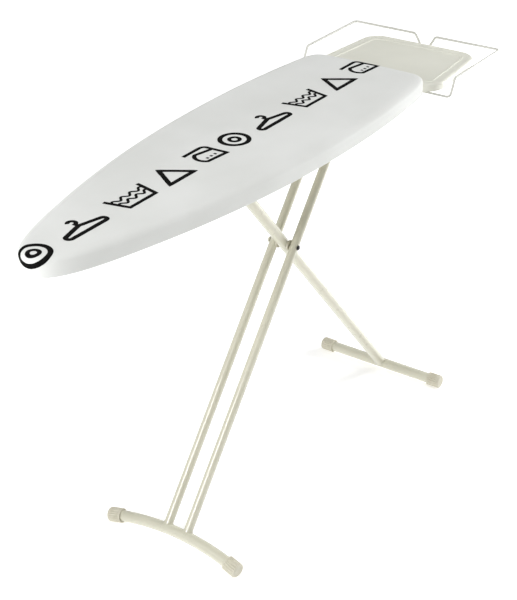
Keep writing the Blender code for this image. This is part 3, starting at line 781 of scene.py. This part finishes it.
def ring_sign(half):
    """Circle with a smaller ring inside it."""
    outer = arc_line((0, 0), half, 0, 360, 96)[:-1]
    inner = arc_line((0, 0), half * 0.36, 0, 360, 48)[:-1]
    return [(outer, STROKE_W, True), (inner, STROKE_W * 0.85, True)]


def hanger_sign(half):
    """Clothes hanger: two shoulders, a bar and a hook."""
    reach = half * 1.75
    low, shoulder = -half * 0.72, half * 0.15
    bend = 0.008
    left = arc_line((-reach + bend, low + bend), bend, 270, 120, 10)
    right = arc_line((reach - bend, low + bend), bend, 60, -90, 10)
    body = left + fine_line([left[-1], (0.0, shoulder)])[1:-1]
    body += fine_line([(0.0, shoulder), right[0]])[:-1] + right
    body += fine_line([right[-1], left[0]])[1:-1]
    hook = fine_line([(0.0, shoulder), (0.0, half * 0.45)])
    hook += arc_line((0.0, half * 0.72), half * 0.27, -90, 150, 16)
    return [(body, STROKE_W, True), (hook, STROKE_W * 0.85, False)]


def tub_sign(half):
    """Wash tub seen from the side, with two waves of water."""
    top, low = half, -half * 0.85
    corners = [(-half * 1.65, top), (-half * 1.25, low), (half * 1.25, low), (half * 1.65, top)]
    strokes = [(fine_line(corners), STROKE_W * 0.85, False)]
    for level in (0.42, -0.12):
        wave = []
        for step in range(49):
            share = step / 48
            x = half * (1.42 + 0.2 * level) * (2 * share - 1)
            wave.append((x, half * (level + 0.16 * math.sin(share * 7 * math.pi))))
        strokes.append((wave, THIN_STROKE_W, False))
    return strokes


def triangle_sign(half):
    corners = [(-half * 1.25, -half * 0.88), (half * 1.25, -half * 0.88), (0.0, half * 1.08)]
    return [(fine_line(corners, True), STROKE_W, True)]


def iron_sign(half):
    """Flat iron with its handle and three dots."""
    low, deck, grip = -half * 0.88, half * 0.30, half * 1.08
    back, nose = half * 1.15, -half * 1.10
    upper_back = (back - 0.002, deck)
    front = arc_line((nose + half * 0.95, low + half * 0.75), half * 0.8, 225, 110, 16)
    body = fine_line([front[0], (back, low), upper_back, front[-1]])
    body += front[::-1][1:-1]
    handle = fine_line([(nose, grip), (back - half * 0.45, grip)])
    handle += arc_line((back - half * 0.45, grip - half * 0.38), half * 0.38, 90, 10, 8)[1:]
    handle += fine_line([handle[-1], upper_back])[1:]
    strokes = [(body, STROKE_W * 0.85, True), (handle, STROKE_W * 0.85, False)]
    for number in (-1, 0, 1):
        x, y = half * (0.12 + number * 0.42), low * 0.4
        strokes.append(([(x - DOT_HALF, y), (x + DOT_HALF, y)], DOT_W, False))
    return strokes


# Signs along the middle of the board, by how far their middles are from the nose
SIGNS = (
    ("ring_nose", ring_sign, 0.020),
    ("hanger_nose", hanger_sign, 0.156),
    ("tub_nose", tub_sign, 0.318),
    ("triangle_nose", triangle_sign, 0.448),
    ("iron_nose", iron_sign, 0.570),
    ("ring_tail", ring_sign, 0.676),
    ("hanger_tail", hanger_sign, 0.812),
    ("tub_tail", tub_sign, 0.968),
    ("triangle_tail", triangle_sign, 1.101),
    ("iron_tail", iron_sign, 1.214),
)


def make_prints(surface):
    """The signs stand in a row along the board, upright as seen from its right-hand side."""
    nose_x = OUTLINE[:, 0].min()
    for name, sign, distance in SIGNS:
        bm = bmesh.new()
        for line, width, closed in sign(SIGN_HALF):
            placed = [(nose_x + distance + x, y) for x, y in line]
            lay_stroke(bm, surface, placed, width, closed)
        piece = mesh_object("print_" + name, bm, "board", INK)
        solidify(piece, INK_T, 1.0).use_even_offset = False


# ---------------------------------------------------------------- expanded steel top

def inset(x, y):
    """How far a point is inside the board's outline, and the direction out of the board."""
    gaps = OUTLINE - (x, y)
    index = int(np.argmin((gaps**2).sum(axis=1)))
    return float(gaps[index] @ OUTWARD[index]), OUTWARD[index]


def sheet_vertex(bm, shared, x, y, z):
    """A corner that neighbouring cells share, drawn in where it would pass the sheet's edge."""
    depth, out = inset(x, y)
    if depth < SHEET_MARGIN:
        x, y = np.array((x, y)) - out * (SHEET_MARGIN - depth)
    key = (round(x, 5), round(y, 5))
    if key not in shared:
        shared[key] = bm.verts.new((x, y, z))
    return shared[key]


def add_cell(bm, shared, x, y, z):
    """The four strands round one diamond hole."""
    tips = ((CELL_X / 2, 0.0), (0.0, CELL_Y / 2), (-CELL_X / 2, 0.0), (0.0, -CELL_Y / 2))
    outer = [sheet_vertex(bm, shared, x + dx, y + dy, z) for dx, dy in tips]
    inner = []
    for dx, dy in tips:
        hole = (x + dx * HOLE_X / CELL_X, y + dy * HOLE_Y / CELL_Y)
        inner.append(sheet_vertex(bm, shared, *hole, z + STRAND_TWIST * float(np.sign(dy))))
    for here in range(4):
        after = (here + 1) % 4
        corners = (outer[here], outer[after], inner[after], inner[here])
        if len(set(corners)) == 4:
            bm.faces.new(corners)


def make_expanded_sheet():
    """Diamond cells whose strands are twisted out of the sheet, as slit and drawn steel is."""
    low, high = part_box("mesh_top")
    rows = int((high.y - low.y) / CELL_Y) + 2
    columns = int((high.x - low.x) / CELL_X) + 2
    bm = bmesh.new()
    shared = {}
    for row in range(-rows, rows + 1):
        for column in range(columns + 1):
            x = low.x + (column + (row % 2) / 2) * CELL_X
            y = row * CELL_Y / 2
            if inset(x, y)[0] >= SHEET_MARGIN:
                add_cell(bm, shared, x, y, (low.z + high.z) / 2)
    piece = mesh_object("expanded_top", bm, "board", MATERIALS["cream_paint"])
    solidify(piece, high.z - low.z, 0.0)
    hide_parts("mesh_top")


# ---------------------------------------------------------------- ribbed feet

def axis_frame(node_name):
    """A turned node's mouth, outward direction, length, radius and bore, from its solid."""
    mesh = NODES[node_name].data
    points = np.array([v.co for v in mesh.vertices])
    areas = np.array([[face.area] for face in mesh.polygons])
    normals = np.array([face.normal for face in mesh.polygons])
    centre = (areas * [face.center for face in mesh.polygons]).sum(axis=0) / areas.sum()
    spread, axes = np.linalg.eigh((areas * normals).T @ normals)
    others_differ = np.abs(np.roll(spread, -1) - np.roll(spread, 1))
    axis = axes[:, int(np.argmin(others_differ))]
    if axis[1] * centre[1] < 0.0:
        axis = -axis
    along = (points - centre) @ axis
    across = np.linalg.norm(points - centre - np.outer(along, axis), axis=1)
    at_mouth = across[along < along.min() + MOUTH_DEPTH]
    mouth = Vector(centre + axis * along.min())
    return mouth, Vector(axis), float(np.ptp(along)), float(across.max()), float(at_mouth.min())


def cap_sections(length, radius, bore):
    """A cap's section as (radius, distance from its mouth, share of the ribs' depth), from the
    bore round the mouth and along the outside to the end."""
    shoulder = length - CAP_END_R
    sections = [
        (bore, CAP_BORE_DEPTH, 0.0),
        (bore, CAP_CHAMFER, 0.0),
        (bore + CAP_CHAMFER, 0.0, 0.0),
        (radius - CAP_CHAMFER, 0.0, 0.0),
        (radius, CAP_CHAMFER, 0.0),
        (radius, CAP_COLLAR_END, 0.0),
        (radius - CAP_NECK, CAP_NECK_START, 0.0),
        (radius - CAP_NECK, CAP_NECK_END, 0.0),
        (radius, CAP_RIB_START, 1.0),
        (radius, shoulder, 1.0),
    ]
    for step in range(1, CAP_END_STEPS + 1):
        angle = math.pi / 2 * step / CAP_END_STEPS
        shrink = CAP_END_R * (1.0 - math.cos(angle))
        rib = max(0.0, 1.0 - 2 * step / CAP_END_STEPS)
        sections.append((radius - shrink, shoulder + CAP_END_R * math.sin(angle), rib))
    sections.append((radius - CAP_END_R - CAP_DISH_IN, length - CAP_DISH, 0.0))
    return sections


def make_ribbed_cap(node_name):
    """Ferrule with ribs along it, a plain collar at its mouth and a rounded end."""
    mouth, outward, length, radius, bore = axis_frame(node_name)
    side = outward.orthogonal().normalized()
    up = outward.cross(side)
    steps = RIB_COUNT * RIB_STEPS
    bm = bmesh.new()
    rings = []
    for ring_radius, along, rib in cap_sections(length, radius, bore):
        ring = []
        for step in range(steps):
            angle = 2 * math.pi * step / steps
            between_ribs = 0.5 - 0.5 * math.cos(RIB_COUNT * angle)
            groove = RIB_DEPTH * rib * between_ribs**GROOVE_POWER
            around = side * math.cos(angle) + up * math.sin(angle)
            ring.append(bm.verts.new(mouth + outward * along + around * (ring_radius - groove)))
        rings.append(ring)
    bridge(bm, rings)
    bm.faces.new(rings[0])
    bm.faces.new(rings[-1])
    name = node_name.replace("cap", "ribbed_cap")
    body = NODES[node_name]["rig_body"]
    piece = mesh_object(name, bm, body, MATERIALS["cap_plastic"], 50.0)
    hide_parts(node_name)


# ---------------------------------------------------------------- iron tray

def tray_profile(top_z, low_z):
    """The tray's section as (distance in from its edge, height), from the floor to the skirt.

    A ridge runs round the floor. Outside it a band climbs to the tray's lip.
    """
    floor_z = top_z - TRAY_FLOOR_DOWN
    profile = [(TRAY_RIDGE_IN + 2 * TRAY_RIDGE_W, floor_z)]
    for step in range(TRAY_RIDGE_STEPS + 1):
        share = step / TRAY_RIDGE_STEPS
        swell = 0.5 - 0.5 * math.cos(2 * math.pi * share)
        across = TRAY_RIDGE_IN + TRAY_RIDGE_W * (1.0 - 2 * share)
        profile.append((across, floor_z + TRAY_RIDGE_H * swell))
    profile.append((TRAY_LIP_R * 1.3, top_z - 0.0001))
    for step in range(TRAY_LIP_STEPS + 1):
        angle = math.pi / 2 * step / TRAY_LIP_STEPS
        across = TRAY_LIP_R * (1.0 - math.sin(angle))
        profile.append((across, top_z - TRAY_LIP_R * (1.0 - math.cos(angle))))
    profile.append((0.0, low_z + TRAY_FOOT))
    profile.append((-TRAY_FOOT_OUT, low_z + TRAY_FOOT - 0.0006))
    profile.append((-TRAY_FOOT_OUT, low_z + 0.0003))
    profile.append((0.0, low_z))
    return profile


def make_tray():
    """The tray as a thin shell with bosses under it. Its skirt ends just above the wire."""
    low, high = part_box("iron_tray")
    skirt_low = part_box("rest_wire")[0].z + 2 * REST_WIRE_R + TRAY_CLEAR
    hull = hull_of("iron_tray")
    outline = smooth_line(hull, len(hull) + 1, TRAY_STEP)[:-1]
    outward = outward_of(outline)
    bm = bmesh.new()
    rings = []
    for inward, z in tray_profile(high.z, skirt_low):
        places = outline - outward * inward
        rings.append([bm.verts.new((x, y, z)) for x, y in places])
    bridge(bm, rings)
    bm.faces.new(rings[0])
    piece = mesh_object("moulded_tray", bm, "board", MATERIALS["tray"], 30.0)
    solidify(piece, TRAY_WALL, -1.0)
    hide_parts("iron_tray")
    make_bosses(low.z, high.z - TRAY_FLOOR_DOWN - TRAY_WALL + BOSS_SINK)


def make_bosses(low_z, high_z):
    """A bored boss, narrower at its foot, under the tray's floor round each of its screws."""
    section = ((BOSS_BORE_R, high_z), (BOSS_TOP_R, high_z), (BOSS_LOW_R, low_z), (BOSS_BORE_R, low_z))
    for number in range(1, 5):
        screw_low, screw_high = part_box(f"rest_screw_{number}")
        centre = (screw_low + screw_high) / 2
        bm = bmesh.new()
        rings = []
        for radius, z in section:
            places = arc_line(centre, radius, 0, 360, 24)[:-1]
            rings.append([bm.verts.new((x, y, z)) for x, y in places])
        bridge(bm, rings + rings[:1])
        mesh_object(f"tray_boss_{number}", bm, "board", MATERIALS["tray"])


# ---------------------------------------------------------------- welds

def weld_bead(name, body, centre, axis, radius, onto, onto_radius):
    """Bead where a tube that runs along axis ends on another tube that runs along onto."""
    across = axis.cross(onto).normalized()
    along = across.cross(axis).normalized()
    points, radii = [], []
    for step in range(BEAD_STEPS):
        angle = 2 * math.pi * step / BEAD_STEPS
        beside = radius * math.sin(angle)
        climb = math.sqrt(max(0.0, onto_radius**2 - beside**2))
        point = centre + axis * climb + along * radius * math.cos(angle) + across * beside
        points.append(point)
        ripple = BEAD_RIPPLE * math.sin(step * 2.4)
        radii.append(1.0 + ripple + BEAD_WANDER * noise.noise(point * 160.0))
    tube_piece(name, points, BEAD_R, body, MATERIALS["cream_paint"], True, radii)


def node_place(name):
    """The middle of a node's box, and half its width and height."""
    low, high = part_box(name)
    return (low + high) / 2, (high.y - low.y) / 2, (high.z - low.z) / 2


def front_foot_middle():
    """A point of the bent foot's axis, halfway between its ends."""
    points = [v.co for v in NODES["front_foot"].data.vertices if abs(v.co.y) < MIDDLE_BAND]
    return sum(points, Vector()) / len(points)


def make_welds():
    places = {joint["name"]: Vector(joint["pos_m"]) for joint in frame["joints"]}
    front_up = (places["fold"] - places["scissor_pivot"]).normalized()
    rear_up = (places["slide_turn"] - places["scissor_pivot"]).normalized()
    tube_middle, tube_r, _ = node_place("front_tube_left")
    rear_middle, _, foot_r = node_place("rear_foot")
    bar_r = node_place("front_crossbar")[2]
    sleeve_r = node_place("rear_sleeve")[2]
    foot_middle = front_foot_middle()
    weld_bead("weld_rear_foot", "rear_leg", rear_middle, rear_up, foot_r - BEAD_SINK, Y_AXIS, foot_r)
    for label, side in SIDES:
        beside = Y_AXIS * side * tube_middle.y
        outward = Y_AXIS * side
        name = "weld_foot_" + label
        weld_bead(name, "front_leg", foot_middle + beside, front_up, tube_r, Y_AXIS, foot_r)
        name = f"weld_crossbar_{label}_"
        middle = places["fold"] + beside
        weld_bead(name + "inner", "front_leg", middle, -outward, bar_r, front_up, tube_r)
        weld_bead(name + "outer", "front_leg", middle, outward, bar_r, front_up, tube_r)
        name = "weld_sleeve_" + label
        weld_bead(name, "rear_leg", places["slide_turn"], outward, sleeve_r, rear_up, foot_r)


# ---------------------------------------------------------------- stage

def make_floor():
    """White paper with a glow of its own, weaker near the board, that keeps its shadows faint."""
    corners = [(FLOOR_REACH * x, FLOOR_REACH * y, 0.0) for x, y in ((-1, -1), (1, -1), (1, 1), (-1, 1))]
    mesh = bpy.data.meshes.new("floor")
    mesh.from_pydata(corners, [], [(0, 1, 2, 3)])
    material = new_material("floor_paper", (0.90, 0.90, 0.90), 0.9)
    shader_of(material).inputs["Emission Color"].default_value = (1.0, 1.0, 1.0, 1.0)
    distance = add_node(material, "ShaderNodeVectorMath", operation="LENGTH")
    link(material, object_space(material), distance.inputs[0])
    glow = add_node(material, "ShaderNodeMapRange", interpolation_type="SMOOTHSTEP")
    glow.inputs["From Min"].default_value = NEAR_REACH
    glow.inputs["From Max"].default_value = FAR_REACH
    glow.inputs["To Min"].default_value = GLOW_NEAR
    glow.inputs["To Max"].default_value = GLOW_FAR
    link(material, distance.outputs["Value"], glow.inputs["Value"])
    link(material, glow.outputs["Result"], shader_of(material).inputs["Emission Strength"])
    mesh.materials.append(material)
    floor = bpy.data.objects.new("floor", mesh)
    bpy.context.scene.collection.objects.link(floor)


def make_world():
    """Even light all round but for the front, where a studio is open and darker."""
    world = bpy.data.worlds.new("studio")
    bpy.context.scene.world = world
    world.use_nodes = True
    direction = add_node(world, "ShaderNodeTexCoord")
    facing = add_node(world, "ShaderNodeVectorMath", operation="DOT_PRODUCT")
    facing.inputs[1].default_value = STUDIO_FRONT
    fall = add_node(world, "ShaderNodeMapRange", interpolation_type="SMOOTHSTEP")
    fall.inputs["From Min"].default_value = FRONT_STARTS
    fall.inputs["From Max"].default_value = FRONT_FULL
    fall.inputs["To Min"].default_value = WORLD_FILL
    fall.inputs["To Max"].default_value = WORLD_FRONT
    link(world, direction.outputs["Generated"], facing.inputs[0])
    link(world, facing.outputs["Value"], fall.inputs["Value"])
    background = world.node_tree.nodes["Background"]
    background.inputs["Color"].default_value = (1.0, 1.0, 1.0, 1.0)
    link(world, fall.outputs["Result"], background.inputs["Strength"])


def area_light(name, place, target, size, power):
    light = bpy.data.lights.new(name, "AREA")
    light.shape = "SQUARE"
    light.size = size
    light.energy = power
    lamp = bpy.data.objects.new(name, light)
    lamp.location = place
    lamp.rotation_euler = (Vector(target) - Vector(place)).to_track_quat("-Z", "Y").to_euler()
    bpy.context.scene.collection.objects.link(lamp)


def make_camera():
    """Stands at the nose end, to the right of the board, looking down along it."""
    yaw, pitch, roll = (math.radians(angle) for angle in CAMERA_ANGLES)
    heading = Vector((math.sin(yaw), math.cos(yaw), 0.0))
    forward = heading * math.cos(pitch) - Z_AXIS * math.sin(pitch)
    level = forward.cross(Z_AXIS).normalized()
    upright = level.cross(forward)
    right = level * math.cos(roll) + upright * math.sin(roll)
    up = upright * math.cos(roll) - level * math.sin(roll)
    data = bpy.data.cameras.new("camera")
    data.sensor_width = CAMERA_FILM
    data.lens = CAMERA_LENS
    data.shift_x, data.shift_y = CAMERA_SHIFT
    data.clip_end = CAMERA_REACH
    camera = bpy.data.objects.new("camera", data)
    rotation = Matrix((right, up, -forward)).transposed()
    camera.matrix_world = Matrix.Translation(CAMERA_PLACE) @ rotation.to_4x4()
    bpy.context.scene.collection.objects.link(camera)
    bpy.context.scene.camera = camera


make_camera()
make_world()
make_floor()
area_light("right_box", (3.1, -1.6, 1.5), (0.1, 0.0, 0.7), 1.1, 48.0)
area_light("low_box", (3.4, -1.2, 0.7), (0.0, 0.0, 0.45), 1.0, 24.0)
area_light("left_box", (-2.6, 0.4, 1.7), (-0.3, 0.0, 0.65), 1.0, 43.0)
area_light("top_box", (0.3, -1.0, 3.6), (0.1, 0.0, 0.7), 1.8, 40.0)
bpy.context.scene.view_settings.view_transform = "Standard"

finish_cad_nodes()
cover, cover_surface = make_cover()
make_hem_tape()
make_hem_stitches()
make_prints(cover_surface)
make_pad()
make_expanded_sheet()
for cap in ("front_cap_left", "front_cap_right", "rear_cap_left", "rear_cap_right"):
    make_ribbed_cap(cap)
make_tray()
make_welds()
